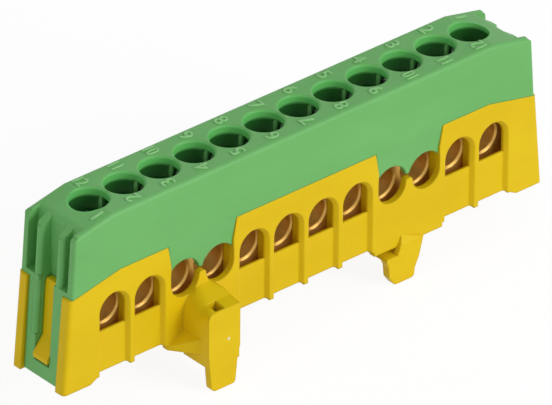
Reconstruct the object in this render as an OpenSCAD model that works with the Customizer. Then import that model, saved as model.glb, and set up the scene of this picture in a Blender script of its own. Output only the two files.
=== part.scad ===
// Earth terminal bar. A brass bar with twelve clamping screws lies in a moulded base on two feet
// that clip to a 35 mm rail. A cover with a funnel over each screw closes it, and is held by a snap
// at each end.
// Millimetres. The origin is on the plane of the soles, below the middle of the housing. X runs
// along the bar, Y across it, and Z points up to the screw heads. Turning the whole piece by half a
// turn about Z gives the same piece.

/* [Terminals] */
// Distance between neighbouring terminals
pitch = 6.6; // [6.5:0.1:7.2]
// Diameter of the wire bores through the bar
wire_d = 5.2; // [4.6:0.1:5.3]
// Height of the wire bores' axis above the underside of the bar
wire_rise = 4.3; // [4.1:0.1:4.6]
// Outside diameter of the clamping screws' thread
thread_d = 4; // [3.2:0.1:4.1]

/* [Brass bar] */
// Width of the bar, which is the length of each wire bore
bar_w = 6.5; // [6.2:0.1:7.4]
// Height of the bar
bar_h = 9; // [8.8:0.1:9.8]
// Length of the bar beyond the half pitch of its last terminal
bar_over = 0.9; // [0.6:0.1:1.4]
// Chamfer round the mouth of each wire bore
bore_chamfer = 0.3; // [0.1:0.05:0.35]

/* [Screws] */
// Diameter of the screw heads
head_d = 5.4; // [4.8:0.1:5.5]
// Height of the screw heads
head_h = 2.2; // [1.8:0.1:2.6]
// Length of the screws below the head
shank_l = 8; // [7.6:0.1:8.6]
// Width of the slot in a screw head
slot_w = 0.9; // [0.7:0.1:1.2]

/* [Housing] */
// Wall of the base
wall_t = 1.1; // [1:0.05:1.4]
// Room between the bar and the wall of the base, taken up by the cover's lip
side_room = 1.5; // [1.4:0.05:1.9]
// Height from the soles to the lower edge of the walls
foot_h = 5.9; // [5.4:0.1:7]
// Depth of the channel below the floor of the base
channel_h = 3.9; // [3.4:0.1:5]
// Floor of the base, on which the bar lies
floor_t = 2.2; // [1.6:0.1:2.8]
// Thickness of the end walls of the base at the level of the bar's top
end_wall_t = 1.7; // [1.4:0.1:2.2]

/* [Cover] */
// Height of the cover above the bar
cover_t = 12; // [11.6:0.1:14]
// Height of the seam between the base and the cover above the bar
seam_rise = 2.35; // [2.1:0.05:3]
// Fall of the cover's top towards its ends, in degrees
top_slope = 12.2; // [8:0.1:14]
// Bore of the wells, in which the screw heads run
tube_d = 6.2; // [6:0.05:6.3]
// Diameter of the round mouths over the wells
mouth_d = 6; // [5.9:0.05:6.1]
// Thickness of the cover's top round the mouths
lip_t = 1.3; // [1:0.1:1.6]
// Width of the slot that joins neighbouring wells
well_slot = 2.8; // [2.2:0.1:3.2]
// Thickness of the straps that hang from the cover's ends
strap_t = 1.3; // [1.1:0.05:1.6]

/* [Wire windows] */
// Half width of the arched windows at the face of the wall
arch_r = 2.9; // [2.85:0.05:2.95]
// Depth of the recess round each arched window
recess_d = 0.65; // [0.4:0.05:0.7]

/* [Rail feet] */
// Width of the mounting rail that the feet clip round
rail_w = 35; // [34:0.1:36]
// Thickness of the rail's brim
rail_t = 1; // [0.8:0.1:1.2]
// Length of the feet along the row of terminals
foot_l = 5.7; // [5.2:0.1:6.2]
// Reach of the latch in front of the wall
latch_reach = 5.75; // [5:0.05:6.5]

/* [Hidden] */
$fn = 64;
HULL_FN = 32;        // facets of the round stretches inside a hull
BIG = 200;           // longer than the whole piece, for cutting shapes
EPS = 0.01;          // overlap that joins or clears coincident faces

// fits between pieces
fit = 0.1;           // running gap between the cover and the base
slack = 0.7;         // end play of the bar in the base
thread_fit = 0.05;   // radial gap in the threaded holes
seam_step = 0.05;    // the cover stands in from the face of the base by this much

// row of terminals
WAYS = 12;
NOTCH_WAYS = 3;      // the notches lie this many pitches from the middle
function way_x(n) = (n - (WAYS + 1) / 2) * pitch;
notch_x = NOTCH_WAYS * pitch;
ARCHED = [1, 2, 5, 6, 7, 8, 11, 12];
NOTCHED = [3, 4, 9, 10];

// levels
floor_z = foot_h + channel_h;
bar_z = floor_z + floor_t;
bar_top = bar_z + bar_h;
seam_z = bar_top + seam_rise;
top_z = bar_top + cover_t;
wire_z = bar_z + wire_rise;
arch_z = wire_z + 0.7;                    // spring line of the arched windows
arch_rim = 0.5;                           // width of the slanted rim round them
sill_z = wire_z - wire_d / 2;             // sill of the windows
rib_foot_z = foot_h + 0.7;                // lower end of the ribs between the windows
round_z = wire_z + 0.2;                   // middle of the round openings under the notches
ridge_z = round_z + 0.35;                 // top of the ridge between two of them
tube_z = bar_top + 1.2;                   // shoulder on which a screw head stops
cell_z = bar_top - 1;                     // top of the ribs that locate the bar
lip_z = bar_top - 0.8;                    // lower edge of the cover's lip

// across
bar_y = bar_w / 2;
wall_in = bar_y + side_room;
wall_y = wall_in + wall_t;
lip_out = wall_in - fit;
lip_in = bar_y + 0.4;
cover_y = wall_y - seam_step;
top_y = cover_y - 0.05;
top_round = 0.7;

// along
bar_l = WAYS * pitch + 2 * bar_over;
well_x = bar_l / 2 + slack;               // inner face of the end walls
end_ref = well_x + end_wall_t + fit + strap_t;
end_draft = 4.1;                          // draft of the cover's ends and the straps, in degrees
base_draft = 5;                           // draft of the base's ends, in degrees
cheek = 0.35;                             // the base stands out past the cover by this much
function end_x(z) = end_ref + (bar_top - z) * tan(end_draft);
function base_end_x(z) = end_ref + cheek + (bar_top - z) * tan(base_draft);
function strap_in_x(z) = end_x(z) - strap_t;
bend_x = way_x(WAYS);
function top_line(x) = top_z - (x - bend_x) * tan(top_slope);

// screws, backed out to clear the wire bores
tip_z = wire_z + wire_d / 2 + 0.2;
head_z = tip_z + shank_l;

// ends of the cover
window_y = 1.7;                           // half width of the window in a strap
window_z = foot_h + 2.6;                  // lower edge of the window
rib_w = 1.35;                             // width of the upright ribs
rib_y = window_y + rib_w / 2;
strap_y = rib_y + rib_w;                  // half width of the straps
panel_x = end_ref - 2.5;                  // back of the recess between the ribs
ledge_z = bar_top + 1.2;                  // lower edge of the recess
flare_z = window_z + 4;                   // level at which the snap's ramp starts
cover_corner = 0.45;                      // rounding of the cover's upright edges
base_corner = 0.7;                        // rounding of the base's upright edges

// copies children by half a turn about Z
module both() {
    children();
    rotate([0, 0, 180]) children();
}

// extrudes a section drawn in Y and Z along X
module along_x(l) {
    rotate([90, 0, 90]) linear_extrude(l, center = true) children();
}

// extrudes a side outline drawn in X and Z along Y
module along_y(l) {
    rotate([90, 0, 0]) linear_extrude(l, center = true) children();
}

// block between two Y planes with a side outline
module slab_y(y0, y1) {
    translate([0, (y0 + y1) / 2, 0]) along_y(y1 - y0) children();
}

function arc(cx, cy, r, a0, a1, n = 8) =
    [for (i = [0 : n]) [cx + r * cos(a0 + (a1 - a0) * i / n), cy + r * sin(a0 + (a1 - a0) * i / n)]];

// what rounding takes off an upright edge with an outer face at x, at the level of the bar's top,
// that leans by draft degrees, and a side face at y
module edge_cut(x, y, r, draft, z0, z1) {
    side = y < 0 ? -1 : 1;
    function face(z) = x + (bar_top - z) * tan(draft);
    difference() {
        slab_y(y - (side > 0 ? r : 1), y + (side > 0 ? 1 : r))
            polygon([[face(z0) - r, z0], [face(z1) - r, z1], [face(z1) + 1, z1], [face(z0) + 1, z0]]);
        translate([x - r, y - side * r, bar_top]) rotate([0, -draft, 0])
            cylinder(r = r, h = BIG, center = true);
    }
}

// ---------- bent outline shared by the cover and the seam ----------

// the half of space between the two mitres where the top bends down, as a side outline
module mitre_middle(depth) {
    t = tan(top_slope / 2);
    polygon([[bend_x + t, top_z + 1], [bend_x - depth * t, top_z - depth],
             [-bend_x + depth * t, top_z - depth], [-bend_x - t, top_z + 1]]);
}

module mitre_end(depth) {
    t = tan(top_slope / 2);
    polygon([[bend_x + t, top_z + 1], [bend_x - depth * t, top_z - depth],
             [BIG, top_z - depth], [BIG, top_z + 1]]);
}

// runs a section, drawn with the cover's top at zero, along the bent top
module bent(depth) {
    intersection() {
        translate([0, 0, top_z]) along_x(BIG) children();
        along_y(BIG) mitre_middle(depth);
    }
    both() intersection() {
        translate([bend_x, 0, top_z]) rotate([0, top_slope, 0]) along_x(BIG) children();
        along_y(BIG) mitre_end(depth);
    }
}

// everything below the seam
module below_seam() {
    depth = top_z;
    bent(depth) translate([-BIG / 2, -BIG]) square([BIG, BIG - (top_z - seam_z)]);
}

// ---------- cover ----------

module skin_section() {
    h = top_z - seam_z;
    polygon(concat(
        [[-cover_y, -h]],
        arc(-top_y + top_round, -top_round, top_round, 180, 90),
        arc(top_y - top_round, -top_round, top_round, 90, 0),
        [[cover_y, -h]]));
}

// side outline between the two drafted end faces, with rounded upper corners
module end_outline() {
    r = 0.7;
    cz = top_line(end_x(top_z)) - r - 0.15;
    cx = end_x(cz) - r;
    right = concat([[end_x(bar_top), bar_top]], arc(cx, cz, r, 0, 80), [[cx, top_z + 1]]);
    polygon(concat(right, [for (i = [len(right) - 1 : -1 : 0]) [-right[i][0], right[i][1]]]));
}

// recess in an end of the cover, whose inner panel rolls over into the top
module end_recess() {
    r = 1.2;
    cx = panel_x - r;
    cz = top_line(cx) - r / cos(top_slope);
    roll = arc(cx, cz, r, 0, 90 - top_slope);
    last = roll[len(roll) - 1];
    slab_y(-lip_out, lip_out)
        polygon(concat([[panel_x, ledge_z]], roll,
                       [[last[0] + 0.3, last[1] + 1.5], [BIG, last[1] + 1.5], [BIG, ledge_z]]));
}

// upright rib in the recess of an end, with a round nose that slopes back at its top
module end_rib(y) {
    r = rib_w / 2;
    root_x = panel_x - 0.8;
    nose_r = 0.5;
    nose_x = end_x(top_z) - nose_r;
    nose_z = top_line(end_ref) - 1.2;
    intersection() {
        translate([end_ref - r, y, bar_top]) rotate([0, -end_draft, 0]) {
            cylinder(r = r, h = BIG, center = true);
            translate([-2 * r, 0, 0]) cube([4 * r, rib_w, BIG], center = true);
        }
        along_y(BIG) polygon(concat(
            [[root_x, ledge_z - EPS], [end_x(ledge_z), ledge_z - EPS], [end_x(nose_z), nose_z]],
            arc(nose_x, nose_z, nose_r, 0, 70),
            [[root_x, top_line(root_x)]]));
    }
}

// strap that hangs from an end of the cover over the snap of the base; on one side of its window a
// shallow channel runs down from under the rib above to the snap's ramp
module strap() {
    z0 = foot_h + 0.3;
    r = rib_w / 2;
    difference() {
        slab_y(-strap_y, strap_y)
            polygon([[end_x(z0), z0], [end_x(ledge_z), ledge_z],
                     [strap_in_x(ledge_z), ledge_z], [strap_in_x(z0), z0]]);
        slab_y(-window_y, window_y)
            polygon([[panel_x, window_z], [BIG, window_z], [BIG, ledge_z + EPS], [panel_x, ledge_z + EPS]]);
        edge_cut(end_ref, -window_y, r, end_draft, flare_z, ledge_z + EPS);
    }
}

// right half of the notch in the base, from the seam down, narrower by gap all round
notch_top = pitch - 0.1;
notch_low = pitch / 2 + wire_d / 2;
function notch_half(gap) = [[notch_top - gap, seam_z], [notch_low - gap, arch_z + 2.9]];

// tongue of the cover that fills a notch and leaves the upper half of two wire openings
module tongue() {
    h = notch_half(fit);
    low = arch_z + 0.45;
    scallop_r = wire_d / 2 + 0.5;
    back_y = -lip_out + 0.3;
    intersection() {
        slab_y(-wall_y, back_y) difference() {
            polygon([[-h[0][0], seam_z + 0.5], [-h[0][0], seam_z], [-h[1][0], h[1][1]], [-h[1][0], low],
                     [h[1][0], low], [h[1][0], h[1][1]], [h[0][0], seam_z], [h[0][0], seam_z + 0.5]]);
            for (side = [-1, 1]) translate([side * pitch / 2, arch_z - 0.2]) circle(r = scallop_r);
        }
        along_x(BIG) polygon([[-wall_y + 0.45, low - 1], [-cover_y + EPS, seam_z], [-cover_y + 0.2, seam_z + 1],
                              [back_y + 1, seam_z + 1], [back_y + 1, low - 1]]);
    }
}

// mouth, well and clearance hole over one screw
module funnel() {
    rim = 0.25;
    translate([0, 0, tube_z]) cylinder(d = tube_d, h = top_z - lip_t - tube_z);
    translate([0, 0, tube_z]) cylinder(d = mouth_d, h = BIG);
    translate([0, 0, top_z - rim]) cylinder(d1 = mouth_d, d2 = mouth_d + 2 * rim, h = rim);
    translate([0, 0, top_z - EPS]) cylinder(d = mouth_d + 2 * rim, h = 1);
    translate([0, 0, bar_top - 1]) cylinder(d = thread_d + 0.5, h = BIG / 4);
}

// slot below the cover's top that joins the wells along the row
module well_passage() {
    translate([-bend_x, -well_slot / 2, tube_z]) cube([2 * bend_x, well_slot, top_z - lip_t - tube_z]);
}

// pockets that core out the cover between its wells
module core_pockets() {
    well_wall = 0.7;
    translate([0, 0, bar_top - EPS]) linear_extrude(cover_t - lip_t - 0.4) difference() {
        square([2 * bend_x, 2 * lip_in], center = true);
        square([2 * bend_x + 1, well_slot + 2 * well_wall], center = true);
        for (n = [1 : WAYS]) translate([way_x(n), 0]) circle(r = tube_d / 2 + well_wall);
    }
}

module cover() {
    core_x = strap_in_x(bar_top) - EPS;
    color([0.40, 0.71, 0.38]) difference() {
        union() {
            difference() {
                union() {
                    intersection() {
                        bent(top_z - seam_z + 2) skin_section();
                        along_y(BIG) end_outline();
                    }
                    translate([-core_x, -lip_out, bar_top]) cube([2 * core_x, 2 * lip_out, seam_rise]);
                }
                both() end_recess();
                for (side = [-1, 1])
                    both() edge_cut(end_ref, side * (cover_y + EPS), cover_corner, end_draft, bar_top, top_z);
                both() slab_y(-window_y, window_y)
                    polygon([[panel_x, bar_top - 1], [BIG, bar_top - 1], [BIG, ledge_z + EPS], [panel_x, ledge_z + EPS]]);
            }
            both() for (side = [-1, 1]) end_rib(side * rib_y);
            both() strap();
            for (side = [-1, 1])
                translate([0, side * (lip_in + lip_out) / 2, (lip_z + bar_top) / 2])
                    cube([2 * well_x - 0.4, lip_out - lip_in, bar_top - lip_z + 0.2], center = true);
            both() for (x = [-notch_x, notch_x]) translate([x, 0, 0]) tongue();
        }
        for (n = [1 : WAYS]) translate([way_x(n), 0, 0]) funnel();
        well_passage();
        core_pockets();
    }
}

// ---------- base ----------

// recess and window of an arched wire entry, cut from the front
module arched_window() {
    inner = arch_r - arch_rim;
    face = -wall_y;
    // arch with a slanted rim
    translate([0, face, arch_z]) rotate([-90, 0, 0])
        cylinder(r1 = arch_r, r2 = inner, h = recess_d);
    translate([0, face - 1, arch_z]) rotate([-90, 0, 0]) cylinder(r = arch_r, h = 1);
    // recess that runs down to the lower edge
    linear_extrude(arch_z)
        polygon([[-arch_r, face - 1], [-arch_r, face], [-inner, face + recess_d],
                 [inner, face + recess_d], [arch_r, face], [arch_r, face - 1]]);
    // the opening itself
    slab_y(face, -bar_y - EPS) {
        translate([0, arch_z]) circle(r = inner);
        translate([-inner, sill_z]) square([2 * inner, arch_z - sill_z]);
    }
    // the recessed stretch ends a little higher than the ribs beside it
    translate([-arch_r, face - 1, 0]) cube([2 * arch_r, wall_t + 1 + EPS, foot_h + 1]);
    translate([-pitch / 2 - EPS, face - 1, 0]) cube([pitch + 2 * EPS, wall_t + 1 + EPS, rib_foot_z]);
}

// slope beside the last window, where the wall comes down to its full height
module wall_corner() {
    x = way_x(WAYS) + pitch / 2;
    slab_y(-wall_y - 1, -wall_y + wall_t + EPS)
        polygon([[x - EPS, 0], [x - EPS, rib_foot_z], [x, rib_foot_z], [x + 1.3, foot_h], [x + 1.3, 0]]);
}

// notch over two wire entries, whose lower halves are round
module notch() {
    h = notch_half(0);
    opening_r = wire_d / 2 + 0.05;
    slab_y(-wall_y - 1, -bar_y - EPS) {
        polygon([[-h[0][0] - 0.1, seam_z + 2], [-h[0][0], seam_z], [-h[1][0], h[1][1]], [h[1][0], h[1][1]],
                 [h[0][0], seam_z], [h[0][0] + 0.1, seam_z + 2]]);
        polygon([[-h[1][0], ridge_z - 0.3], [-0.75, ridge_z - 0.3], [-0.3, ridge_z], [0.3, ridge_z],
                 [0.75, ridge_z - 0.3], [h[1][0], ridge_z - 0.3], [h[1][0], h[1][1] + EPS], [-h[1][0], h[1][1] + EPS]]);
        for (side = [-1, 1]) translate([side * pitch / 2, round_z]) {
            circle(r = opening_r);
            translate([-opening_r, 0]) square([2 * opening_r, 2]);
        }
    }
}

// walls, end walls and cheeks before anything is cut from them
module shell() {
    gap_y = strap_y + 0.2;
    intersection() {
        difference() {
            translate([-BIG / 2, -wall_y, foot_h]) cube([BIG, 2 * wall_y, top_z]);
            translate([-well_x, -wall_in, foot_h - 1]) cube([2 * well_x, 2 * wall_in, BIG]);
            // between the cheeks, in front of the end walls
            both() slab_y(-gap_y, gap_y)
                polygon([[strap_in_x(foot_h - 1) - fit, foot_h - 1], [strap_in_x(bar_top) - fit, bar_top],
                         [well_x - 1, bar_top], [well_x - 1, top_z], [BIG, top_z], [BIG, foot_h - 1]]);
            // above the end walls
            translate([-end_ref + strap_t, -wall_in, bar_top]) cube([2 * (end_ref - strap_t), 2 * wall_in, BIG]);
            for (side = [-1, 1]) both()
                edge_cut(end_ref + cheek, side * wall_y, base_corner, base_draft, foot_h - 1, top_z);
        }
        along_y(BIG) polygon([[-base_end_x(foot_h), foot_h], [base_end_x(foot_h), foot_h],
                              [base_end_x(top_z), top_z], [-base_end_x(top_z), top_z]]);
        below_seam();
    }
}

// tab on an end wall, with the barb over which the strap snaps
module snap() {
    tab_z = bar_top + 0.5;
    ramp_z = window_z + 1.3;
    low_z = window_z + 0.6;
    tip_x = end_x(low_z) + 0.35;
    slab_y(-window_y + fit, window_y - fit)
        polygon([[panel_x + fit, tab_z], [strap_in_x(tab_z) - fit, tab_z], [strap_in_x(flare_z) - fit, flare_z],
                 [tip_x, ramp_z], [tip_x, low_z], [panel_x + fit, low_z]]);
}

// ---------- feet ----------

slot_x = rail_w / 2 + 0.15;               // root of the slot for the rail's brim
foot_x = slot_x + foot_l;                 // outer face of the feet
lip_top = foot_h - rail_t - 0.1;          // upper face of the lip under the brim
lip_under = lip_top - 0.7;
lip_reach = 2.65;                         // reach of the lip under the brim
latch_y = wall_y + latch_reach;           // front of the latch
leg_y = wall_y + 0.65;                    // front of the plain leg
leg_t = 1.1;                              // thickness of the legs
toe_r = 0.6;                              // rounding of the legs' toes

// hooked lip that holds the rail's brim, as points from its tip up to the root of the slot
function hook_points() = [[slot_x - lip_reach, lip_under + 0.3], [slot_x - lip_reach + 0.15, lip_top], [slot_x, lip_top]];

// block under the floor with the hooked lip
module rail_hook() {
    slab_y(-wall_y, wall_y)
        polygon(concat([[slot_x, lip_under], [slot_x - lip_reach + 0.4, lip_under]], hook_points()));
    slab_y(-wall_y, wall_y)
        polygon([[slot_x, lip_under], [slot_x + 4, lip_under], [foot_x - 0.55, foot_h + EPS], [slot_x, foot_h + EPS]]);
    translate([slot_x, -wall_in - EPS, foot_h])
        cube([foot_l, 2 * (wall_in + EPS), floor_z - foot_h + EPS]);
}

// thin leg on the fixed side, which a wedge blends into the wall
module plain_leg() {
    shoulder_x = slot_x + 4.5;
    heel_x = slot_x + 2.2;
    toe_x = slot_x - 0.6;
    shoulder_z = foot_h + 0.4;
    wedge_top = foot_h + 1.8;
    slab_y(-leg_y, -leg_y + leg_t + 0.2) polygon(concat(
        [[shoulder_x, shoulder_z], [shoulder_x - 0.8, foot_h - 2.7], [heel_x + 0.7, 2.5 * toe_r]],
        arc(heel_x, toe_r, toe_r, 0, -90),
        arc(toe_x, toe_r + 0.2, toe_r + 0.2, -90, -150),
        [[slot_x - 2.05, 1.5], [slot_x - 2.25, lip_under - 0.6]],
        hook_points(),
        [[slot_x, shoulder_z]]));
    intersection() {
        translate([slot_x + 2, 0, 0]) along_x(BIG)
            polygon([[-leg_y, lip_top - 0.2], [-leg_y, shoulder_z], [-wall_y, wedge_top],
                     [-wall_y + 0.3, wedge_top], [-wall_y + 0.3, lip_top - 0.2]]);
        along_y(BIG)
            polygon([[slot_x - 0.6, lip_top - 0.2], [shoulder_x - 0.5, lip_top - 0.2], [shoulder_x, shoulder_z],
                     [slot_x + 1, wedge_top], [slot_x + 0.7, wedge_top], [slot_x - 0.1, foot_h - 0.3]]);
    }
}

// side outline of the latch's box, with its outer upper edge rounded
module box_outline(outer_x, r, upper_z) {
    polygon(concat([[-box_in_x, foot_h], [-outer_x, foot_h]],
                   arc(-outer_x + r, upper_z - r, r, 180, 90, 16),
                   [[-box_in_x, upper_z]]));
}

box_in_x = slot_x - 0.15;                 // inner side of the latch's box
box_front_z = sill_z - 0.45;              // top of the box at its front
box_knee_z = box_front_z + 0.3;           // top of the box where it starts to rise
box_wall_z = box_front_z + 1.6;           // top of the box at the wall
knee_y = latch_y - 2.2;

// box of the latch in front of the wall, with its leg
module latch() {
    difference() {
        union() {
            // front stretch of the box
            hull() {
                slab_y(-latch_y, -latch_y + 0.1) box_outline(foot_x + 0.15, 1, box_front_z);
                slab_y(-knee_y - EPS, -knee_y) box_outline(foot_x + 0.1, 2, box_knee_z);
            }
            // stretch that rises to the wall
            hull() {
                slab_y(-knee_y - EPS, -knee_y) box_outline(foot_x + 0.1, 2, box_knee_z);
                slab_y(-wall_y, -wall_y + 0.5) box_outline(foot_x + 0.05, 3.4, box_wall_z);
            }
            skirt();
            translate([-foot_x, -latch_y + EPS, lip_under]) cube([foot_l, latch_reach, foot_h - lip_under + 1]);
            latch_leg();
        }
        // slot for the blade that frees the latch
        translate([-slot_x - 4.3, -latch_y + 0.4, -1]) cube([1.7, 1.9, BIG]);
        // way in to the wire entries above the box
        for (n = [3, 4]) translate([way_x(n), -wall_y, round_z]) rotate([90, 0, 0])
            cylinder(d = wire_d + 0.1, h = BIG);
    }
}

// skirt that spreads the box into the wall
module skirt() {
    spread = 3;
    hull() {
        translate([0, 0, foot_h]) linear_extrude(0.6) polygon(concat(
            [[-foot_x + 1, -wall_y + 0.3], [-foot_x - spread, -wall_y + 0.3]],
            [for (a = [0 : 15 : 60]) [-foot_x - spread + spread * sin(a), -wall_y - latch_reach * (1 - cos(a))]],
            [[-foot_x + 1, -latch_y + 0.2]]));
        slab_y(-latch_y + 1.5, -wall_y) translate([-foot_x, foot_h + 2.6]) square([0.5, 0.1]);
    }
}

module latch_leg() {
    heel_r = 1;
    slab_y(-latch_y, -latch_y + leg_t) polygon(concat(
        [[-box_in_x, foot_h], [-slot_x - 0.25, foot_h - toe_r]],
        arc(-slot_x - 1.3, toe_r, toe_r, 0, -90),
        arc(-foot_x + heel_r + 0.35, heel_r, heel_r, -90, -180),
        [[-foot_x - 0.1, foot_h]]));
}

module base() {
    color([0.93, 0.76, 0.10]) difference() {
        union() {
            shell();
            // floor
            translate([-well_x - EPS, -wall_in - EPS, floor_z])
                cube([2 * (well_x + EPS), 2 * (wall_in + EPS), floor_t]);
            // ribs that hold the bar off the walls
            for (n = [1 : WAYS - 1], side = [-1, 1])
                if (abs(abs((n - WAYS / 2) * pitch) - notch_x) > EPS)
                    translate([(n - WAYS / 2) * pitch - 0.6, side > 0 ? bar_y + fit : -wall_in - EPS, bar_z - EPS])
                        cube([1.2, side_room - fit + EPS, cell_z - bar_z]);
            both() snap();
            both() rail_hook();
            both() plain_leg();
            both() latch();
        }
        for (n = ARCHED) {
            translate([way_x(n), 0, 0]) arched_window();
            rotate([0, 0, 180]) translate([way_x(n), 0, 0]) arched_window();
        }
        both() for (m = [0, 1]) mirror([m, 0, 0]) wall_corner();
        both() for (x = [-notch_x, notch_x]) translate([x, 0, 0]) notch();
    }
}

// ---------- metal parts ----------

module brass_bar() {
    color([0.80, 0.62, 0.30]) difference() {
        translate([-bar_l / 2, -bar_y, bar_z]) cube([bar_l, bar_w, bar_h]);
        for (n = [1 : WAYS]) translate([way_x(n), 0, 0]) {
            translate([0, 0, wire_z]) rotate([90, 0, 0]) {
                cylinder(d = wire_d, h = bar_w + 2, center = true);
                for (side = [0, 180]) rotate([side, 0, 0]) translate([0, 0, bar_y - bore_chamfer])
                    cylinder(d1 = wire_d, d2 = wire_d + 4 * bore_chamfer, h = 2 * bore_chamfer);
            }
            translate([0, 0, wire_z]) cylinder(r = thread_d / 2 + thread_fit, h = bar_h);
        }
    }
}

// slotted clamping screw over terminal n
module screw(n) {
    turn = 25 + 47 * n;
    point = 0.5;
    color([0.78, 0.79, 0.80]) translate([way_x(n), 0, tip_z]) difference() {
        union() {
            cylinder(d1 = thread_d - 2 * point, d2 = thread_d, h = point);
            translate([0, 0, point]) cylinder(d = thread_d, h = shank_l - point + EPS);
            translate([0, 0, shank_l]) cylinder(d = head_d, h = head_h - 0.4);
            translate([0, 0, shank_l + head_h - 0.4]) cylinder(d1 = head_d, d2 = head_d - 0.6, h = 0.4);
        }
        translate([0, 0, shank_l + head_h]) rotate([0, 0, turn])
            cube([head_d + 1, slot_w, 2.4], center = true);
    }
}

cover();
base();
brass_bar();
screw(1);  // screw_01
screw(2);  // screw_02
screw(3);  // screw_03
screw(4);  // screw_04
screw(5);  // screw_05
screw(6);  // screw_06
screw(7);  // screw_07
screw(8);  // screw_08
screw(9);  // screw_09
screw(10);  // screw_10
screw(11);  // screw_11
screw(12);  // screw_12
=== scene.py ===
"""Looks of an earth terminal bar: its plastics, its metals and the fine pieces that its solids leave out.

Everything is in metres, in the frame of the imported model. The origin is below the middle of the housing,
on the plane of the soles. X runs along the row of terminals, Y across it, and Z points up to the screw
heads. The housing looks the same after half a turn about Z.
"""

import logging
import math
from collections.abc import Callable, Iterable
from dataclasses import dataclass, field
from enum import Enum

import bpy
from mathutils import Matrix, Vector


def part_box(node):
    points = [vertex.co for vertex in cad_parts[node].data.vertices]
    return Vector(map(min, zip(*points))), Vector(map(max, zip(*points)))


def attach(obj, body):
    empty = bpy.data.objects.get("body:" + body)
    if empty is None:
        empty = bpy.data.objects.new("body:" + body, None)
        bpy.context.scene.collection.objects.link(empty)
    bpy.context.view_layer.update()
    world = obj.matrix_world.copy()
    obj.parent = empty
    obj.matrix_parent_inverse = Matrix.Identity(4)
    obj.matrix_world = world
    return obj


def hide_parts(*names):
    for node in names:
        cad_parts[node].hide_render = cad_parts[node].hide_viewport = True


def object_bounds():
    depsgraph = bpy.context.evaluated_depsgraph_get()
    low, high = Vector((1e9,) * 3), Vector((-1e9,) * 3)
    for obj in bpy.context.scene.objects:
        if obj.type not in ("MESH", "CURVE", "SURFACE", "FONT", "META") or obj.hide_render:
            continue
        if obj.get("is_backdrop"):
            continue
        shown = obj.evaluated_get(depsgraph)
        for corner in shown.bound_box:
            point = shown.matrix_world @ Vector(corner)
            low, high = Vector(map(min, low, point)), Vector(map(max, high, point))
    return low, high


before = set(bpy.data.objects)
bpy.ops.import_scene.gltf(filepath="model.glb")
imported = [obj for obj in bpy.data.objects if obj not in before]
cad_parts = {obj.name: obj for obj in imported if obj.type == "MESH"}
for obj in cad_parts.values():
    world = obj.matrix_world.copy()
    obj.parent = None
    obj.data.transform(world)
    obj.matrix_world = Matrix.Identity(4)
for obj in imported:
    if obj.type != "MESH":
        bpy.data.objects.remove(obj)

LOG = logging.getLogger("earth_terminal_bar")
MM = 0.001
NEAR = 0.01 * MM
WHITE = (1.0, 1.0, 1.0, 1.0)

Colour = tuple[float, float, float]
Span = tuple[float, float]


class Slot(Enum):
    """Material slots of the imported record."""

    GREEN = "green_plastic"
    YELLOW = "yellow_plastic"
    BRASS = "brass"
    STEEL = "steel"


class Look(Enum):
    """Finishes of the pieces, each with its name and the slot of the record that it belongs to."""

    COVER = ("cover", Slot.GREEN)
    FIGURES = ("figures", Slot.GREEN)
    BASE = ("base", Slot.YELLOW)
    GATE = ("gate mark", Slot.YELLOW)
    BAR = ("bar", Slot.BRASS)
    SCREWS = ("screws", Slot.STEEL)

    @property
    def slot(self) -> Slot:
        """Gives the slot of the record."""
        return self.value[1]


class Side(Enum):
    """The two like halves of the piece, as turns about Z in degrees."""

    FRONT = 0
    BACK = 180

    @property
    def turn(self) -> Matrix:
        """Gives the turn as a matrix."""
        return Matrix.Rotation(math.radians(self.value), 4, "Z")


class Part(Enum):
    """What an edit selects of a mesh, with the mesh's own list of it."""

    VERT = "vertices"
    EDGE = "edges"
    FACE = "polygons"


# ---------- modelling helpers ----------


def deselect_all() -> None:
    """Leaves edit mode and deselects every object."""
    if bpy.context.object and bpy.context.object.mode != "OBJECT":
        bpy.ops.object.mode_set(mode="OBJECT")
    bpy.ops.object.select_all(action="DESELECT")


def activate(pieces: Iterable[bpy.types.Object]) -> None:
    """Selects these objects alone, the last one active.

    Args:
        pieces: The objects to select.
    """
    deselect_all()
    for piece in pieces:
        piece.select_set(True)
        bpy.context.view_layer.objects.active = piece


def edit_where(piece: bpy.types.Object, part: Part, test: Callable[[Vector], bool]) -> None:
    """Opens a mesh in edit mode with what passes a test selected.

    Args:
        piece: The mesh object to open.
        part: Whether vertices, edges or faces are picked.
        test: Says of a vertex, or of the middle of an edge or face, whether it is picked.
    """
    activate([piece])
    bpy.ops.object.mode_set(mode="EDIT")
    bpy.ops.mesh.select_mode(type=part.name)
    bpy.ops.mesh.select_all(action="DESELECT")
    bpy.ops.object.mode_set(mode="OBJECT")
    mesh = piece.data
    for item in getattr(mesh, part.value):
        if part is Part.VERT:
            middle = item.co
        else:
            corners = [mesh.vertices[index].co for index in item.vertices]
            middle = sum(corners, Vector()) / len(corners)
        item.select = bool(test(middle))
    bpy.ops.object.mode_set(mode="EDIT")


def close_edit() -> None:
    """Goes back to object mode."""
    bpy.ops.object.mode_set(mode="OBJECT")


def apply_modifiers(piece: bpy.types.Object) -> None:
    """Applies all modifiers of a piece, in order.

    Args:
        piece: The mesh object that carries them.
    """
    activate([piece])
    for modifier in list(piece.modifiers):
        bpy.ops.object.modifier_apply(modifier=modifier.name)


def settle(piece: bpy.types.Object) -> None:
    """Puts a piece's place into its mesh, so that its object sits at the origin.

    Args:
        piece: The object whose location, rotation and scale are applied.
    """
    activate([piece])
    bpy.ops.object.transform_apply(location=True, rotation=True, scale=True)


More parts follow.
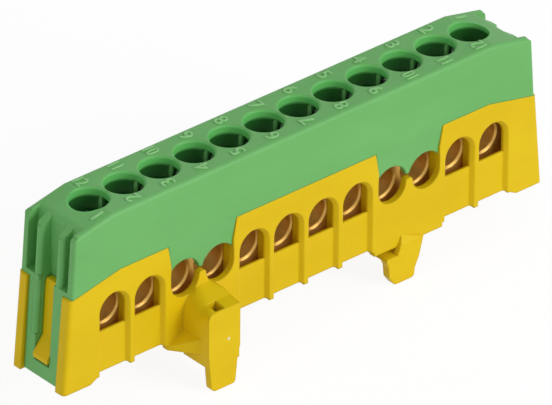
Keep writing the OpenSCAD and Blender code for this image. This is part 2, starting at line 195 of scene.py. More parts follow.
def tidy_mesh(piece: bpy.types.Object, merge: float = 0.002 * MM) -> None:
    """Merges doubled vertices and turns all faces outwards.

    Args:
        piece: The mesh object to clean.
        merge: Distance within which vertices are merged, in metres.
    """
    edit_where(piece, Part.VERT, lambda place: True)
    bpy.ops.mesh.remove_doubles(threshold=merge)
    bpy.ops.mesh.select_all(action="SELECT")
    bpy.ops.mesh.normals_make_consistent(inside=False)
    close_edit()


def smooth(piece: bpy.types.Object, degrees: float = 30.0) -> None:
    """Shades a piece smooth, with sharp edges where its faces turn by more than an angle.

    Args:
        piece: The mesh object to shade.
        degrees: The angle.
    """
    activate([piece])
    bpy.ops.object.shade_smooth_by_angle(angle=math.radians(degrees))


def copy_of(piece: bpy.types.Object, name: str, move: Matrix) -> bpy.types.Object:
    """Copies a piece with its own mesh.

    Args:
        piece: The finished piece, at the origin.
        name: Name of the copy.
        move: Where the copy goes, from where the piece is.

    Returns:
        The copy, with its place in its mesh.
    """
    copy = bpy.data.objects.new(name, piece.data.copy())
    copy.data.name = name
    copy.data.transform(move)
    bpy.context.scene.collection.objects.link(copy)
    return copy


def on_both_sides(model: bpy.types.Object, names: dict[Side, str]) -> list[bpy.types.Object]:
    """Puts a copy of a piece on each side of the housing, and removes the piece itself.

    Args:
        model: The finished piece, where it lies on the front side.
        names: Names of the copies.

    Returns:
        The copies.
    """
    copies = [copy_of(model, name, side.turn) for side, name in names.items()]
    bpy.data.objects.remove(model)
    return copies


def joined(pieces: list[bpy.types.Object], name: str) -> bpy.types.Object:
    """Joins pieces into one.

    Args:
        pieces: The objects to join.
        name: Name of the result.

    Returns:
        The joined object.
    """
    activate(pieces)
    bpy.ops.object.join()
    whole = bpy.context.object
    whole.name = name
    whole.data.name = name
    return whole


# ---------- the frame's measures ----------


@dataclass(frozen=True)
class RowMeasures:
    """Places along the row of terminals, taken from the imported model."""

    count: int
    pitch: float
    top: float
    tip: float
    screw_top: float
    head_r: float

    @classmethod
    def from_frame(cls) -> "RowMeasures":
        """Reads the measures off the boxes of the cover and of the first and last screw."""
        screws = sorted(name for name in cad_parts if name.startswith("screw_"))
        first_low, first_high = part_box(screws[0])
        last_low, last_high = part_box(screws[-1])
        return cls(
            count=len(screws),
            pitch=(last_low.x - first_low.x) / (len(screws) - 1),
            top=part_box("cover")[1].z,
            tip=first_low.z,
            screw_top=first_high.z,
            head_r=(last_high.x - last_low.x) / 2,
        )

    def way_x(self, way: int) -> float:
        """Gives the X of a terminal, counted from 1.

        Args:
            way: The terminal's number.

        Returns:
            Its X in metres.
        """
        return (way - (self.count + 1) / 2) * self.pitch


# ---------- shader helpers ----------


class Graph:
    """Adds and links the nodes of one tree, so that a finish reads as a list of steps."""

    def __init__(self, tree: bpy.types.NodeTree) -> None:
        """Starts on a tree, whose nodes are removed.

        Args:
            tree: The tree of a material, a world or a node group.
        """
        self.tree = tree
        tree.nodes.clear()

    def add(self, kind: str, inputs: dict | None = None, **settings: object) -> bpy.types.Node:
        """Adds a node.

        Args:
            kind: Type of the node, as Blender names it.
            inputs: Values or output sockets for its inputs, by name or index.
            **settings: The node's own properties.

        Returns:
            The new node.
        """
        node = self.tree.nodes.new(kind)
        for name, value in settings.items():
            setattr(node, name, value)
        for key, value in (inputs or {}).items():
            if isinstance(value, bpy.types.NodeSocket):
                self.tree.links.new(value, node.inputs[key])
            else:
                node.inputs[key].default_value = value
        return node

    def group(self, tree: bpy.types.NodeTree, inputs: dict | None = None) -> bpy.types.Node:
        """Places an effect.

        Args:
            tree: The node group of the effect.
            inputs: Its values in this material, where they aren't the usual ones.

        Returns:
            The group's node.
        """
        return self.add("ShaderNodeGroup", inputs, node_tree=tree)

    def maths(self, operation: str, first: object, second: object = 0.0) -> bpy.types.NodeSocket:
        """Adds a Math node.

        Args:
            operation: Its operation.
            first: Its first value or socket.
            second: Its second value or socket.

        Returns:
            The node's output.
        """
        return self.add("ShaderNodeMath", {0: first, 1: second}, operation=operation).outputs[0]

    def spread(self, value: object, span: Span, onto: Span = (0.0, 1.0)) -> bpy.types.NodeSocket:
        """Spreads a span of values onto another, and holds what lies outside at its ends.

        Args:
            value: The value or socket.
            span: Both ends of the span.
            onto: Where the ends go.

        Returns:
            The spread value.
        """
        ends = {"From Min": span[0], "From Max": span[1], "To Min": onto[0], "To Max": onto[1]}
        return self.add("ShaderNodeMapRange", {"Value": value, **ends}).outputs[0]

    def mix(self, factor: object, first: object, second: object) -> bpy.types.NodeSocket:
        """Adds a colour mix.

        Args:
            factor: Share of the second colour.
            first: First colour or socket.
            second: Second colour or socket.

        Returns:
            The mixed colour.
        """
        node = self.add("ShaderNodeMix", data_type="RGBA")
        colours = [socket for socket in node.inputs if socket.type == "RGBA"]
        for socket, value in zip((node.inputs[0], *colours), (factor, first, second)):
            if isinstance(value, bpy.types.NodeSocket):
                self.tree.links.new(value, socket)
            else:
                socket.default_value = value if isinstance(value, float) else (*value[:3], 1.0)
        return next(socket for socket in node.outputs if socket.type == "RGBA")


def new_group(
    name: str, inputs: dict[str, float], outputs: dict[str, str]
) -> tuple[Graph, bpy.types.Node]:
    """Starts a node group for an effect of the finishes.

    Args:
        name: Name of the group.
        inputs: Its number inputs and their usual values.
        outputs: Its outputs and their socket types.

    Returns:
        The group's graph and the node that gives its inputs.
    """
    tree = bpy.data.node_groups.new(name, "ShaderNodeTree")
    for label, value in inputs.items():
        socket = tree.interface.new_socket(label, in_out="INPUT", socket_type="NodeSocketFloat")
        socket.default_value = value
    for label, kind in outputs.items():
        tree.interface.new_socket(label, in_out="OUTPUT", socket_type=kind)
    graph = Graph(tree)
    return graph, graph.add("NodeGroupInput")


def object_place(graph: Graph) -> bpy.types.NodeSocket:
    """Gives the place in the piece's own frame.

    Args:
        graph: The tree to add to.

    Returns:
        The Object coordinates.
    """
    return graph.add("ShaderNodeTexCoord").outputs["Object"]


@dataclass(frozen=True)
class Effects:
    """Node groups from which the finishes are put together."""

    edges: bpy.types.NodeTree
    moulding: bpy.types.NodeTree
    streaks: bpy.types.NodeTree
    wells: bpy.types.NodeTree

    @classmethod
    def build(cls, row: RowMeasures) -> "Effects":
        """Builds the groups once.

        Args:
            row: The measures of the row of terminals.

        Returns:
            The groups.
        """
        return cls(
            edges=cls.edge_group(),
            moulding=cls.moulding_group(),
            streaks=cls.streak_group(),
            wells=cls.well_group(row),
        )

    @staticmethod
    def edge_group() -> bpy.types.NodeTree:
        """Rounds edges and finds them.

        Returns:
            A group that gives a normal rounded over a radius, and a mask of the edges, along which the
            finishes paint a highlight.
        """
        graph, given = new_group(
            "rounded_edges",
            {"Radius": 0.2 * MM, "Reach": 3.0},
            {"Normal": "NodeSocketVector", "Edge": "NodeSocketFloat"},
        )
        bevel = graph.add("ShaderNodeBevel", {"Radius": given.outputs["Radius"]}, samples=6)
        rounded = bevel.outputs[0]
        face = graph.add("ShaderNodeNewGeometry").outputs["Normal"]
        product = graph.add("ShaderNodeVectorMath", {0: rounded, 1: face}, operation="DOT_PRODUCT")
        turn = graph.maths("SUBTRACT", 1.0, product.outputs["Value"])
        turned = graph.maths("MULTIPLY", turn, given.outputs["Reach"])
        edge = graph.add("ShaderNodeClamp", {"Value": turned}).outputs[0]
        graph.add("NodeGroupOutput", {"Normal": rounded, "Edge": edge})
        return graph.tree

    @staticmethod
    def moulding_group() -> bpy.types.NodeTree:
        """Texture of a moulded face.

        Returns:
            A group that gives the height of the face, with its fine grain and broad waves, a mask of how
            the melt flowed, and one of the grain.
        """
        grain_share = 0.3
        flow_stretch = (0.35, 1.0, 1.0)
        graph, given = new_group(
            "moulded_face",
            {"Grain size": 0.18 * MM, "Wave size": 9.0 * MM},
            {"Height": "NodeSocketFloat", "Flow": "NodeSocketFloat", "Grain": "NodeSocketFloat"},
        )
        place = object_place(graph)
        fine_scale = graph.maths("DIVIDE", 1.0, given.outputs["Grain size"])
        broad_scale = graph.maths("DIVIDE", 1.0, given.outputs["Wave size"])
        fine = graph.add("ShaderNodeTexNoise", {"Vector": place, "Scale": fine_scale, "Detail": 2.0})
        drawn = graph.add("ShaderNodeMapping", {"Vector": place, "Scale": flow_stretch}).outputs[0]
        broad = graph.add("ShaderNodeTexNoise", {"Vector": drawn, "Scale": broad_scale, "Detail": 3.0})
        grain = graph.maths("MULTIPLY", fine.outputs[0], grain_share)
        height = graph.maths("ADD", grain, broad.outputs[0])
        graph.add(
            "NodeGroupOutput",
            {"Height": height, "Flow": broad.outputs[0], "Grain": fine.outputs[0]},
        )
        return graph.tree

    @staticmethod
    def streak_group() -> bpy.types.NodeTree:
        """Fine machining marks on metal.

        Returns:
            A group that gives lines along X mixed with rings round bores along Y, and a broader stain.
        """
        line_stretch = (0.04, 1.0, 1.0)
        ring_stretch = (0.06, 1.0, 0.06)
        line_share = 0.5
        graph, given = new_group(
            "drawn_metal",
            {"Line size": 0.08 * MM, "Stain size": 3.0 * MM},
            {"Line": "NodeSocketFloat", "Stain": "NodeSocketFloat"},
        )
        place = object_place(graph)
        line_scale = graph.maths("DIVIDE", 1.0, given.outputs["Line size"])
        stain_scale = graph.maths("DIVIDE", 1.0, given.outputs["Stain size"])
        drawn = graph.add("ShaderNodeMapping", {"Vector": place, "Scale": line_stretch}).outputs[0]
        turned = graph.add("ShaderNodeMapping", {"Vector": place, "Scale": ring_stretch}).outputs[0]
        along = graph.add("ShaderNodeTexNoise", {"Vector": drawn, "Scale": line_scale, "Detail": 3.0})
        rings = graph.add("ShaderNodeTexNoise", {"Vector": turned, "Scale": line_scale, "Detail": 2.0})
        lines = graph.maths("MULTIPLY", graph.maths("ADD", along.outputs[0], rings.outputs[0]), line_share)
        stain = graph.add("ShaderNodeTexNoise", {"Vector": place, "Scale": stain_scale, "Detail": 4.0})
        graph.add("NodeGroupOutput", {"Line": lines, "Stain": stain.outputs[0]})
        return graph.tree

    @staticmethod
    def well_group(row: RowMeasures) -> bpy.types.NodeTree:
        """Finds the screw wells of the cover.

        Args:
            row: The measures of the row of terminals.

        Returns:
            A group that gives a mask of the mouths at the cover's top, and one of the walls below them,
            where a highlight and shade are painted.
        """
        mouth_fade = 0.3 * MM
        wall_fade = 0.4 * MM
        graph, given = new_group(
            "screw_wells",
            {
                "Top": row.top,
                "Lip": 1.25 * MM,
                "First": row.way_x(1),
                "Half pitch": row.pitch / 2,
                "Radius": 3.28 * MM,
            },
            {"Mouth": "NodeSocketFloat", "Wall": "NodeSocketFloat"},
        )
        place = graph.add("ShaderNodeSeparateXYZ", {0: object_place(graph)})
        half = given.outputs["Half pitch"]
        wrapped = graph.add(
            "ShaderNodeMath",
            {
                0: graph.maths("SUBTRACT", place.outputs["X"], given.outputs["First"]),
                1: half,
                2: graph.maths("MULTIPLY", half, -1.0),
            },
            operation="WRAP",
        ).outputs[0]
        flat = graph.add("ShaderNodeCombineXYZ", {0: wrapped, 1: place.outputs["Y"]}).outputs[0]
        away = graph.add("ShaderNodeVectorMath", {0: flat}, operation="LENGTH").outputs["Value"]
        last = graph.maths("SUBTRACT", given.outputs["Radius"], given.outputs["First"])
        within = graph.maths(
            "MULTIPLY",
            graph.maths("LESS_THAN", away, given.outputs["Radius"]),
            graph.maths("LESS_THAN", graph.maths("ABSOLUTE", place.outputs["X"]), last),
        )
        depth = graph.maths("SUBTRACT", given.outputs["Top"], place.outputs["Z"])
        below = graph.maths("SUBTRACT", depth, given.outputs["Lip"])
        mouth = graph.maths("MULTIPLY", within, graph.spread(depth, (0.0, mouth_fade)))
        wall = graph.maths("MULTIPLY", within, graph.spread(below, (0.0, wall_fade)))
        graph.add("NodeGroupOutput", {"Mouth": mouth, "Wall": wall})
        return graph.tree


# ---------- finishes ----------


@dataclass(frozen=True)
class PlasticFinish:
    """Moulded polyamide with a fine grain, with a painted highlight along its edges, and on the cover a
    painted highlight in the mouths of the screw wells and painted shade on their walls.
    """

    name: str
    colour: Colour
    deep: Colour
    edge: Colour
    roughness: float
    shine: float
    grain: float
    radius: float
    # Painted highlight for the mouths of the screw wells, and painted shade for their walls.
    mouth: Colour | None = None
    well: Colour | None = None
    mouth_share: float = 0.7
    well_share: float = 0.92
    edge_share: float = 0.5
    edge_reach: float = 2.2
    grain_size: float = 0.16 * MM
    grain_span: Span = (0.3, 0.7)
    wave_size: float = 8.0 * MM
    flow_span: Span = (0.35, 0.65)
    relief: float = 0.05 * MM
    smoother: float = 0.05
    rougher: float = 0.07

    def tinted(
        self, graph: Graph, effects: Effects, colour: bpy.types.NodeSocket
    ) -> bpy.types.NodeSocket:
        """Paints light and shade into the screw wells: a painted highlight on their mouths, which catch
        the light, and painted shade on their walls, which lie in the dark.

        Args:
            graph: The tree to add to.
            effects: The node groups of the effects.
            colour: The plastic's colour.

        Returns:
            The colour with the painted highlight and shade, or the same colour if this plastic has no
            wells.
        """
        if not (self.mouth and self.well):
            return colour
        wells = graph.group(effects.wells)
        mouth_lit = graph.maths("MULTIPLY", wells.outputs["Mouth"], self.mouth_share)
        wall_shaded = graph.maths("MULTIPLY", wells.outputs["Wall"], self.well_share)
        return graph.mix(wall_shaded, graph.mix(mouth_lit, colour, self.mouth), self.well)

    def material(self, effects: Effects) -> bpy.types.Material:
        """Builds the material.

        Args:
            effects: The node groups of the effects.

        Returns:
            The finished material.
        """
        material = bpy.data.materials.new(self.name)
        material.use_nodes = True
        graph = Graph(material.node_tree)
        face = graph.group(
            effects.moulding,
            {"Grain size": self.grain_size, "Wave size": self.wave_size},
        )
        rounded = graph.group(effects.edges, {"Radius": self.radius, "Reach": self.edge_reach})
        flow = graph.spread(face.outputs["Flow"], self.flow_span)
        # Painted highlight and painted shade in the screw wells, where the plastic has them.
        body = self.tinted(graph, effects, graph.mix(flow, self.deep, self.colour))
        # Painted highlight: the colour is lightened along rounded edges, where light catches them.
        edge = graph.maths("MULTIPLY", rounded.outputs["Edge"], self.edge_share)
        highlighted = graph.mix(edge, body, self.edge)
        rough = graph.spread(
            face.outputs["Grain"],
            self.grain_span,
            onto=(self.roughness - self.smoother, self.roughness + self.rougher),
        )
        bump = graph.add(
            "ShaderNodeBump",
            {
                "Height": face.outputs["Height"],
                "Strength": self.grain,
                "Distance": self.relief,
                "Normal": rounded.outputs["Normal"],
            },
        ).outputs[0]
        shader = graph.add(
            "ShaderNodeBsdfPrincipled",
            {
                "Base Color": highlighted,
                "Roughness": rough,
                "Normal": bump,
                "IOR": 1.5,
                "Specular IOR Level": self.shine,
            },
        )
        graph.add("ShaderNodeOutputMaterial", {"Surface": shader.outputs[0]})
        return material


@dataclass(frozen=True)
class MetalFinish:
    """Drawn or plated metal with fine lines and a faint stain, and a painted highlight along its edges."""

    name: str
    colour: Colour
    stained: Colour
    edge: Colour
    metallic: float
    roughness: float
    line: float
    radius: float
    edge_share: float = 0.8
    edge_reach: float = 2.5
    line_size: float = 0.07 * MM
    line_span: Span = (0.3, 0.7)
    stain_size: float = 2.5 * MM
    stain_span: Span = (0.4, 0.75)
    relief: float = 0.02 * MM
    smoother: float = 0.06
    rougher: float = 0.12

    def material(self, effects: Effects) -> bpy.types.Material:
        """Builds the material.

        Args:
            effects: The node groups of the effects.

        Returns:
            The finished material.
        """
        material = bpy.data.materials.new(self.name)
        material.use_nodes = True
        graph = Graph(material.node_tree)
        face = graph.group(
            effects.streaks,
            {"Line size": self.line_size, "Stain size": self.stain_size},
        )
        rounded = graph.group(effects.edges, {"Radius": self.radius, "Reach": self.edge_reach})
        stain = graph.spread(face.outputs["Stain"], self.stain_span)
        body = graph.mix(stain, self.colour, self.stained)
        # Painted highlight: the colour is brightened along rounded edges, where light catches them.
        edge = graph.maths("MULTIPLY", rounded.outputs["Edge"], self.edge_share)
        colour = graph.mix(edge, body, self.edge)
        rough = graph.spread(
            face.outputs["Line"],
            self.line_span,
            onto=(self.roughness - self.smoother, self.roughness + self.rougher),
        )
        bump = graph.add(
            "ShaderNodeBump",
            {
                "Height": face.outputs["Line"],
                "Strength": self.line,
                "Distance": self.relief,
                "Normal": rounded.outputs["Normal"],
            },
        ).outputs[0]
        shader = graph.add(
            "ShaderNodeBsdfPrincipled",
            {"Base Color": colour, "Metallic": self.metallic, "Roughness": rough, "Normal": bump},
        )
        graph.add("ShaderNodeOutputMaterial", {"Surface": shader.outputs[0]})
        return material


# The edge colours below are painted highlights along rounded edges.
FINISHES = {
    Look.COVER: PlasticFinish(
        name="green moulded plastic",
        colour=(0.158, 0.476, 0.136),
        deep=(0.140, 0.440, 0.118),
        edge=(0.270, 0.640, 0.225),
        roughness=0.42,
        shine=0.30,
        grain=0.35,
        radius=0.32 * MM,
        # Painted highlight in the mouths of the screw wells, and painted shade on their walls.
        mouth=(0.135, 0.610, 0.140),
        well=(0.004, 0.088, 0.006),
    ),
    # The figures are the cover's green painted lighter, as a highlight on raised figures that catch the
    # light.
    Look.FIGURES: PlasticFinish(
        name="green raised figures",
        colour=(0.300, 0.660, 0.260),
        deep=(0.260, 0.610, 0.220),
        edge=(0.420, 0.780, 0.360),
        roughness=0.36,
        shine=0.30,
        grain=0.20,
        radius=0.06 * MM,
    ),
    Look.BASE: PlasticFinish(
        name="yellow moulded plastic",
        colour=(0.800, 0.556, 0.006),
        deep=(0.750, 0.512, 0.004),
        edge=(0.860, 0.640, 0.025),
        roughness=0.42,
        shine=0.14,
        grain=0.35,
        radius=0.36 * MM,
    ),
    Look.GATE: PlasticFinish(
        name="pale gate stub",
        colour=(0.860, 0.760, 0.420),
        deep=(0.830, 0.710, 0.340),
        edge=(0.900, 0.820, 0.560),
        roughness=0.50,
        shine=0.30,
        grain=0.20,
        radius=0.03 * MM,
    ),
    Look.BAR: MetalFinish(
        name="machined brass",
        colour=(0.770, 0.460, 0.110),
        stained=(0.560, 0.310, 0.050),
        edge=(1.000, 0.850, 0.540),
        metallic=0.64,
        roughness=0.36,
        line=0.45,
        radius=0.16 * MM,
    ),
    Look.SCREWS: MetalFinish(
        name="plated steel",
        colour=(0.620, 0.620, 0.600),
        stained=(0.480, 0.480, 0.450),
        edge=(0.760, 0.760, 0.740),
        metallic=1.0,
        roughness=0.28,
        line=0.20,
        radius=0.08 * MM,
    ),
}


class Paint:
    """Gives pieces their finish."""

    def __init__(self, row: RowMeasures) -> None:
        """Builds each finish once.

        Args:
            row: The measures of the row of terminals.
        """
        effects = Effects.build(row)
        self.materials = {look: finish.material(effects) for look, finish in FINISHES.items()}

    def cover(self, piece: bpy.types.Object, look: Look) -> None:
        """Puts one finish all over a piece.

        Args:
            piece: The piece or CAD node.
            look: Its finish.
        """
        piece.data.materials.clear()
        piece.data.materials.append(self.materials[look])

    def dress(self, piece: bpy.types.Object, look: Look) -> None:
        """Finishes a new piece.

        Args:
            piece: The new piece.
            look: Its finish.
        """
        self.cover(piece, look)


# ---------- sub-assemblies ----------


@dataclass
class Housing:
    """The moulded base and cover with the bar between them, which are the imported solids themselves."""

    paint: Paint
    looks: dict[str, Look] = field(
        default_factory=lambda: {"cover": Look.COVER, "base": Look.BASE, "brass_bar": Look.BAR}
    )

    def build(self) -> list[bpy.types.Object]:
        """Dresses the solids.

        Returns:
            The dressed CAD nodes.
        """
        for name, look in self.looks.items():
            self.paint.cover(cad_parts[name], look)
        return [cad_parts[name] for name in self.looks]


@dataclass
class TerminalNumbers:
    """Raised plain numbers beside the screw funnels, one row on each side of the cover."""

    paint: Paint
    row: RowMeasures
    height: float = 2.35 * MM
    relief: float = 0.18 * MM
    sunk: float = 0.1 * MM
    across: float = -4.05 * MM
    behind: float = -1.75 * MM
    cap_share: float = 0.72
    spacing: float = 0.95
    curve_steps: int = 4
    squeeze: float = 0.68
    squeezed_shift: float = -0.2 * MM
    top_slope: float = math.radians(12.2)

    def squeezed(self, way: int) -> bool:
        """Says whether a number has two figures, which stand closer together."""
        return way >= 10

    def digits(self, way: int) -> bpy.types.Object:
        """Models one number as a raised mesh.

        Args:
            way: The number.

        Returns:
            The number, lying flat with its middle at the origin.
        """
        deselect_all()
        bpy.ops.object.text_add()
        text = bpy.context.object
        text.data.body = str(way)
        text.data.align_x = "CENTER"
        text.data.align_y = "CENTER"
        text.data.size = self.height / self.cap_share
        text.data.space_character = self.spacing
        text.data.extrude = (self.relief + self.sunk) / 2
        text.data.resolution_u = self.curve_steps
        bpy.ops.object.convert(target="MESH")
        number = bpy.context.object
        number.scale.x = self.squeeze if self.squeezed(way) else 1.0
        settle(number)
        tidy_mesh(number)
        return number

    def place(self, way: int) -> Matrix:
        """Finds where a number of the front row goes.

        Args:
            way: The terminal's number.

        Returns:
            The move from the origin to the cover's top, which slopes down beyond its outermost funnels.
        """
        x = self.row.way_x(way) + self.behind
        bend = self.row.way_x(self.row.count)
        beyond = abs(x) - bend
        tilt = math.copysign(self.top_slope, x) if beyond > 0 else 0.0
        y = self.across + (self.squeezed_shift if self.squeezed(way) else 0.0)
        fall = max(beyond, 0.0) * math.tan(self.top_slope)
        z = self.row.top - fall + (self.relief - self.sunk) / 2
        return (
            Matrix.Translation((x, y, z))
            @ Matrix.Rotation(tilt, 4, "Y")
            @ Matrix.Rotation(math.radians(90), 4, "Z")
        )

    def build(self) -> list[bpy.types.Object]:
        """Models both rows.

        Returns:
            The two rows of numbers.
        """
        numbers = []
        for way in range(1, self.row.count + 1):
            number = self.digits(way)
            number.data.transform(self.place(way))
            numbers.append(number)
        model = joined(numbers, "numbers_model")
        rows = on_both_sides(model, {Side.FRONT: "numbers_front", Side.BACK: "numbers_back"})
        for piece in rows:
            # The raised figures take the cover's green painted lighter, as a highlight.
            self.paint.dress(piece, Look.FIGURES)
            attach(piece, "housing")
        return rows


@dataclass
class StrapRibs:
    """Rounded ribs of the cover's straps, which carry the ribs of its ends on down beside the snaps."""

    paint: Paint
    draft: float = math.radians(4.1)
    inner_y: float = -1.7 * MM
    width: float = 1.0 * MM
    round_r: float = 0.675 * MM
    sunk: float = 0.70 * MM
    proud: float = 0.03 * MM
    foot: float = 12.5 * MM
    head: float = 22.2 * MM
    slices: int = 8

    def rib(self) -> bpy.types.Object:
        """Models the rib at the +X end, in line with the strap's leaning face.

        Returns:
            The rib in its place.
        """
        low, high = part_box("cover")
        middle = (self.foot + self.head) / 2
        face = high.x - (middle - low.z) * math.tan(self.draft)
        deselect_all()
        bpy.ops.mesh.primitive_cube_add(
            size=1.0,
            location=((self.proud - self.sunk) / 2, self.inner_y - self.width / 2, 0.0),
        )
        rib = bpy.context.object
        rib.scale = (self.proud + self.sunk, self.width, (self.head - self.foot) / math.cos(self.draft))
        settle(rib)
        edit_where(
            rib,
            Part.EDGE,
            lambda place: place.x > self.proud - NEAR and place.y > self.inner_y - NEAR,
        )
        bpy.ops.mesh.bevel(offset=self.round_r, segments=self.slices, affect="EDGES")
        close_edit()
        lean = Matrix.Rotation(-self.draft, 4, "Y")
        rib.data.transform(Matrix.Translation((face, 0.0, middle)) @ lean)
        smooth(rib)
        return rib

    def build(self) -> list[bpy.types.Object]:
        """Models one rib and copies it to the other end.

        Returns:
            The two ribs.
        """
        ribs = on_both_sides(self.rib(), {Side.FRONT: "strap_rib_right", Side.BACK: "strap_rib_left"})
        for piece in ribs:
            self.paint.dress(piece, Look.COVER)
            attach(piece, "housing")
        return ribs


@dataclass
class GateMarks:
    """Small pale stubs left by the mould's gates on the latches."""

    paint: Paint
    radius: float = 0.28 * MM
    stand: float = 0.05 * MM
    across: float = -19.7 * MM
    height: float = 8.0 * MM
    crown: float = 0.03 * MM

    def stub(self) -> bpy.types.Object:
        """Models the stub on the latch at the front.

        Returns:
            The stub in its place.
        """
        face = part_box("base")[0].y
        deselect_all()
        bpy.ops.mesh.primitive_cylinder_add(
            vertices=20,
            radius=self.radius,
            depth=2 * self.stand,
            location=(self.across, face, self.height),
            rotation=(math.radians(90), 0.0, 0.0),
        )
        stub = bpy.context.object
        settle(stub)
        crown = stub.modifiers.new("crown", "BEVEL")
        crown.width = self.crown
        crown.segments = 3
        crown.limit_method = "ANGLE"
        apply_modifiers(stub)
        smooth(stub, degrees=40.0)
        return stub

    def build(self) -> list[bpy.types.Object]:
        """Models one stub and copies it to the other latch.

        Returns:
            The two stubs.
        """
        stubs = on_both_sides(self.stub(), {Side.FRONT: "gate_mark_front", Side.BACK: "gate_mark_back"})
        for piece in stubs:
            self.paint.dress(piece, Look.GATE)
            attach(piece, "housing")
        return stubs


@dataclass
class ClampScrews:
    """Slotted clamping screws with a real thread, which the screws of the model leave out."""

    paint: Paint
    row: RowMeasures
    head_h: float = 2.2 * MM
    thread_r: float = 2.0 * MM
    thread_pitch: float = 0.7 * MM
    thread_depth: float = 0.34 * MM
    flank: float = 0.45
    thread_steps: int = 28
    run_out: float = 0.6 * MM
    root_sunk: float = 0.02 * MM
    point: float = 0.5 * MM
    point_share: float = 0.75
    rooted: float = 0.2 * MM
    rim: float = 0.18 * MM
    slot_w: float = 0.9 * MM
    slot_depth: float = 1.2 * MM
    first_turn: float = math.radians(25)
    turn_step: float = math.radians(47)

    def head(self) -> bpy.types.Object:
        """Models the head with its slot.

        Returns:
            The head, at its height over the origin.
        """
        low = self.row.screw_top - self.head_h
        deselect_all()
        bpy.ops.mesh.primitive_cylinder_add(
            vertices=48,
            radius=self.row.head_r,
            depth=self.head_h,
            location=(0.0, 0.0, low + self.head_h / 2),
        )
        head = bpy.context.object
        settle(head)
        bpy.ops.mesh.primitive_cube_add(size=1.0, location=(0.0, 0.0, self.row.screw_top))
        blade = bpy.context.object
        blade.scale = (3 * self.row.head_r, self.slot_w, 2 * self.slot_depth)
        settle(blade)
        cut = head.modifiers.new("slot", "BOOLEAN")
        cut.operation = "DIFFERENCE"
        cut.object = blade
        apply_modifiers(head)
        bpy.data.objects.remove(blade)
        rim = head.modifiers.new("rim", "BEVEL")
        rim.width = self.rim
        rim.segments = 3
        rim.limit_method = "ANGLE"
        rim.angle_limit = math.radians(40)
        apply_modifiers(head)
        return head

    def shank(self) -> bpy.types.Object:
        """Models the core of the thread, with its pointed tip.

        Returns:
            The core, from the tip up into the head.
        """
        core_r = self.thread_r - self.thread_depth
        low = self.row.tip
        high = self.row.screw_top - self.head_h + self.rooted
        deselect_all()
        bpy.ops.mesh.primitive_cylinder_add(
            vertices=36,
            radius=core_r,
            depth=high - low - self.point,
            location=(0.0, 0.0, (high + low + self.point) / 2),
        )
        core = bpy.context.object
        settle(core)
        edit_where(core, Part.FACE, lambda place: place.z < low + self.point + NEAR)
        bpy.ops.mesh.extrude_region_move(TRANSFORM_OT_translate={"value": (0.0, 0.0, -self.point)})
        bpy.ops.transform.resize(value=(self.point_share, self.point_share, 1.0))
        close_edit()
        return core

    def thread(self) -> bpy.types.Object:
        """Models the thread as a ridge wound round the core.

        Returns:
            The ridge.
        """
        low = self.row.tip + self.point
        high = self.row.screw_top - self.head_h - self.run_out
        turns = int((high - low) / self.thread_pitch)
        root_r = self.thread_r - self.thread_depth - self.root_sunk
        deselect_all()
        bpy.ops.mesh.primitive_circle_add(vertices=3, radius=self.thread_pitch, fill_type="NOTHING")
        ridge = bpy.context.object
        corners = ((root_r, -self.flank), (self.thread_r, 0.0), (root_r, self.flank))
        for vertex, (radius, share) in zip(ridge.data.vertices, corners):
            vertex.co = (radius, 0.0, low + share * self.thread_pitch)
        wind = ridge.modifiers.new("wind", "SCREW")
        wind.axis = "Z"
        wind.angle = math.tau
        wind.screw_offset = self.thread_pitch
        wind.iterations = turns
        wind.steps = self.thread_steps
        wind.render_steps = self.thread_steps
        wind.use_merge_vertices = False
        apply_modifiers(ridge)
        edit_where(ridge, Part.VERT, lambda place: True)
        bpy.ops.mesh.fill_holes(sides=3)
        close_edit()
        tidy_mesh(ridge)
        return ridge

    def build(self) -> list[bpy.types.Object]:
        """Models one screw and copies it to each terminal, with its slot where it was left.

        Returns:
            The screws.
        """
        model = joined([self.shank(), self.thread(), self.head()], "screw_model")
        settle(model)
        smooth(model, degrees=35.0)
        screws = []
        for way in range(1, self.row.count + 1):
            turn = self.first_turn + way * self.turn_step
            move = Matrix.Translation((self.row.way_x(way), 0.0, 0.0)) @ Matrix.Rotation(turn, 4, "Z")
            screw = copy_of(model, f"clamp_screw_{way:02d}", move)
            self.paint.dress(screw, Look.SCREWS)
            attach(screw, f"clamp_{way:02d}")
            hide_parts(f"screw_{way:02d}")
            screws.append(screw)
        bpy.data.objects.remove(model)
        return screws


# ---------- studio ----------


@dataclass(frozen=True)
class Lamp:
    """A soft rectangular lamp that looks at the middle of the piece."""

    name: str
    azimuth: float
    elevation: float
    distance: float
    size: float
    power: float

    def build(self, aim: Vector) -> bpy.types.Object:
        """Hangs the lamp.

        Args:
            aim: The point that it lights.

        Returns:
            The lamp.
        """
        data = bpy.data.lights.new(self.name, "AREA")
        data.shape = "SQUARE"
        data.size = self.size
        data.energy = self.power
        lamp = bpy.data.objects.new(self.name, data)
        bpy.context.scene.collection.objects.link(lamp)
        towards = direction(self.azimuth, self.elevation)
        lamp.location = aim + self.distance * towards
        lamp.rotation_euler = (-towards).to_track_quat("-Z", "Y").to_euler()
        return lamp


def direction(azimuth: float, elevation: float) -> Vector:
    """Turns angles into a direction away from the piece.

    Args:
        azimuth: Degrees from -Y towards +X.
        elevation: Degrees above the floor.

    Returns:
        The unit vector.
    """
    around, up = math.radians(azimuth), math.radians(elevation)
    return Vector((math.sin(around) * math.cos(up), -math.cos(around) * math.cos(up), math.sin(up)))


def seen_directly(graph: Graph) -> bpy.types.NodeSocket:
    """Finds the rays that show the surroundings: the camera's, and those off metal or through glass.

    Args:
        graph: The tree to add to.

    Returns:
        The mask of these rays.
    """
    path = graph.add("ShaderNodeLightPath")
    seen = graph.maths("MAXIMUM", path.outputs["Is Camera Ray"], path.outputs["Is Glossy Ray"])
    return graph.maths("MAXIMUM", seen, path.outputs["Is Transmission Ray"])


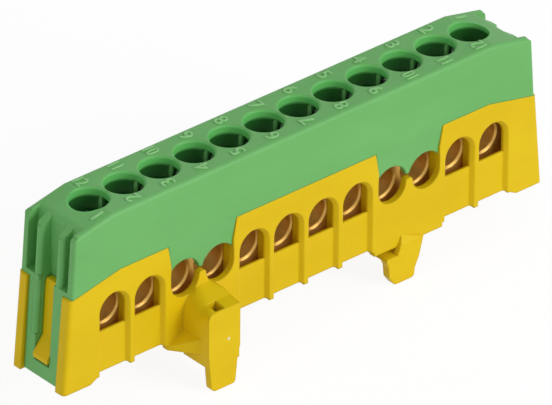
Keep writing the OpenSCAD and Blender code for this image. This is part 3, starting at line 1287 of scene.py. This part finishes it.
@dataclass
class Studio:
    """Camera, lamps, world and floor round the piece."""

    aim: Vector = field(default_factory=lambda: Vector((-0.85, 0.0, 18.11)) * MM)
    azimuth: float = -40.81
    elevation: float = 31.76
    roll: float = 0.42
    distance: float = 1.8091
    lens: float = 811.0
    sensor: float = 36.0
    clip: Span = (0.1, 50.0)
    floor_size: float = 6.0
    floor_colour: Colour = (0.90, 0.90, 0.89)
    floor_share: float = 0.85
    floor_glow: float = 1.06
    ambient: float = 0.42
    lamps: tuple[Lamp, ...] = (
        Lamp("key_lamp", azimuth=22.0, elevation=26.0, distance=0.9, size=0.5, power=4.6),
        Lamp("side_lamp", azimuth=-85.0, elevation=20.0, distance=0.9, size=0.5, power=1.0),
    )

    def camera(self) -> bpy.types.Object:
        """Sets up the camera at the viewing angle.

        Returns:
            The camera.
        """
        data = bpy.data.cameras.new("camera")
        data.lens = self.lens
        data.sensor_width = self.sensor
        data.clip_start, data.clip_end = self.clip
        camera = bpy.data.objects.new("camera", data)
        bpy.context.scene.collection.objects.link(camera)
        towards = direction(self.azimuth, self.elevation)
        facing = (-towards).to_track_quat("-Z", "Y").to_matrix().to_4x4()
        camera.matrix_world = (
            Matrix.Translation(self.aim + self.distance * towards)
            @ facing
            @ Matrix.Rotation(math.radians(self.roll), 4, "Z")
        )
        bpy.context.scene.camera = camera
        return camera

    def world(self) -> None:
        """Makes the surroundings white to look at, and a plain soft light on the piece."""
        world = bpy.data.worlds.new("studio")
        bpy.context.scene.world = world
        world.use_nodes = True
        graph = Graph(world.node_tree)
        level = graph.spread(seen_directly(graph), (0.0, 1.0), onto=(self.ambient, 1.0))
        glow = graph.add("ShaderNodeBackground", {"Color": WHITE, "Strength": level})
        graph.add("ShaderNodeOutputWorld", {"Surface": glow.outputs[0]})

    def floor(self, level: float) -> bpy.types.Object:
        """Lays a pale floor that stays white and keeps a soft shadow.

        Args:
            level: Its height.

        Returns:
            The floor.
        """
        deselect_all()
        bpy.ops.mesh.primitive_plane_add(size=self.floor_size, location=(0.0, 0.0, level))
        floor = bpy.context.object
        floor.name = "floor"
        settle(floor)
        material = bpy.data.materials.new("pale floor")
        material.use_nodes = True
        graph = Graph(material.node_tree)
        share = graph.maths("MULTIPLY", seen_directly(graph), self.floor_share)
        paint = graph.add("ShaderNodeBsdfDiffuse", {"Color": (*self.floor_colour, 1.0)})
        glow = graph.add("ShaderNodeEmission", {"Color": WHITE, "Strength": self.floor_glow})
        mixed = graph.add("ShaderNodeMixShader", {0: share, 1: paint.outputs[0], 2: glow.outputs[0]})
        graph.add("ShaderNodeOutputMaterial", {"Surface": mixed.outputs[0]})
        floor.data.materials.append(material)
        floor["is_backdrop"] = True
        return floor

    def build(self, level: float) -> None:
        """Sets up everything round the piece.

        Args:
            level: Height of the floor.
        """
        self.camera()
        self.world()
        self.floor(level)
        for lamp in self.lamps:
            lamp.build(self.aim)
        bpy.context.scene.view_settings.view_transform = "Standard"


def main() -> None:
    """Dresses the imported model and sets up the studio."""
    logging.basicConfig(level=logging.INFO, format="%(name)s: %(message)s")
    cad_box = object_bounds()
    row = RowMeasures.from_frame()
    paint = Paint(row)
    assemblies = (
        Housing(paint),
        TerminalNumbers(paint, row),
        StrapRibs(paint),
        GateMarks(paint),
        ClampScrews(paint, row),
    )
    for assembly in assemblies:
        for piece in assembly.build():
            LOG.info("%s: %s, %d faces", type(assembly).__name__, piece.name, len(piece.data.polygons))
    Studio().build(level=cad_box[0][2])


if __name__ == "__main__":
    main()
